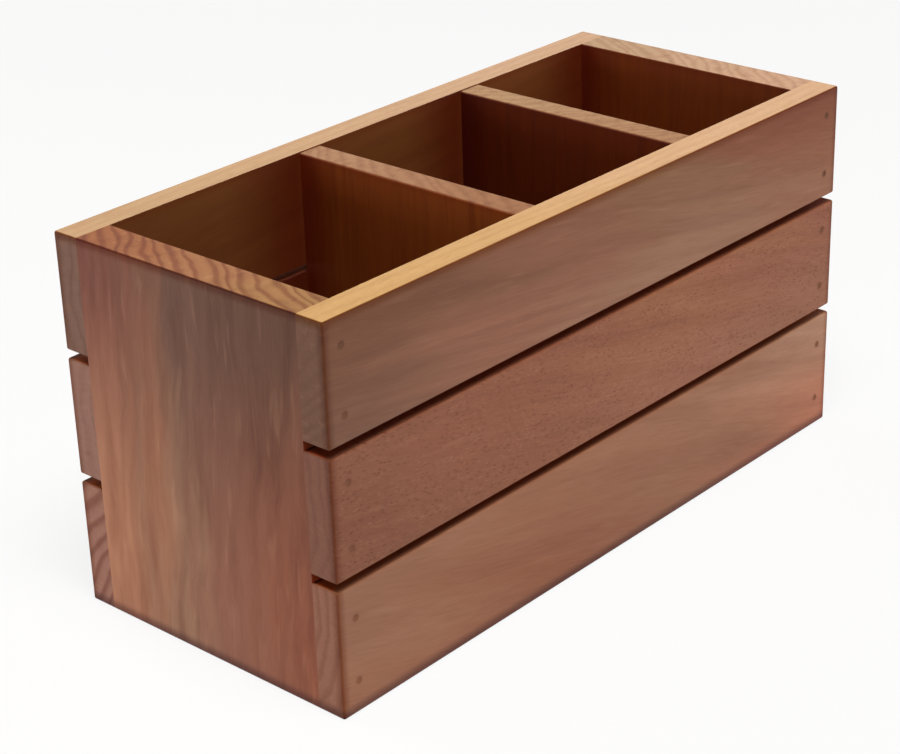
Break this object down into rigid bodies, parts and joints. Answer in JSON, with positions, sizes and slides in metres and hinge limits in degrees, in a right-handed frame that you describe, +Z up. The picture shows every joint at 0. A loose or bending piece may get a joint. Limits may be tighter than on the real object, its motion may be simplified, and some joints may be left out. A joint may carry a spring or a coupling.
{
  "type": "utensil caddy",
  "caption": "Open-top slatted wooden caddy for kitchen utensils, with solid end boards and compartments of falling size.",
  "frame": {"origin": "centre of the footprint, on the surface the caddy stands on", "axes": "+X along the caddy from the large compartment to the small one, +Y towards the back, +Z up"},
  "size_m": [0.3, 0.132, 0.15],
  "materials": {
    "slat_wood": "oiled",
    "end_wood": "oiled",
    "divider_wood": "oiled",
    "bottom_wood": "oiled",
    "brad_steel": "dull"
  },
  "bodies": {
    "root": {"left_end_panel": "end_wood", "right_end_panel": "end_wood", "bottom_panel": "bottom_wood", "front_top_slat": "slat_wood", "front_middle_slat": "slat_wood", "front_bottom_slat": "slat_wood", "back_top_slat": "slat_wood", "back_middle_slat": "slat_wood", "back_bottom_slat": "slat_wood", "left_divider": "divider_wood", "right_divider": "divider_wood", "front_slat_brads": "brad_steel", "back_slat_brads": "brad_steel", "divider_brads": "brad_steel"}
  },
  "joints": []
}
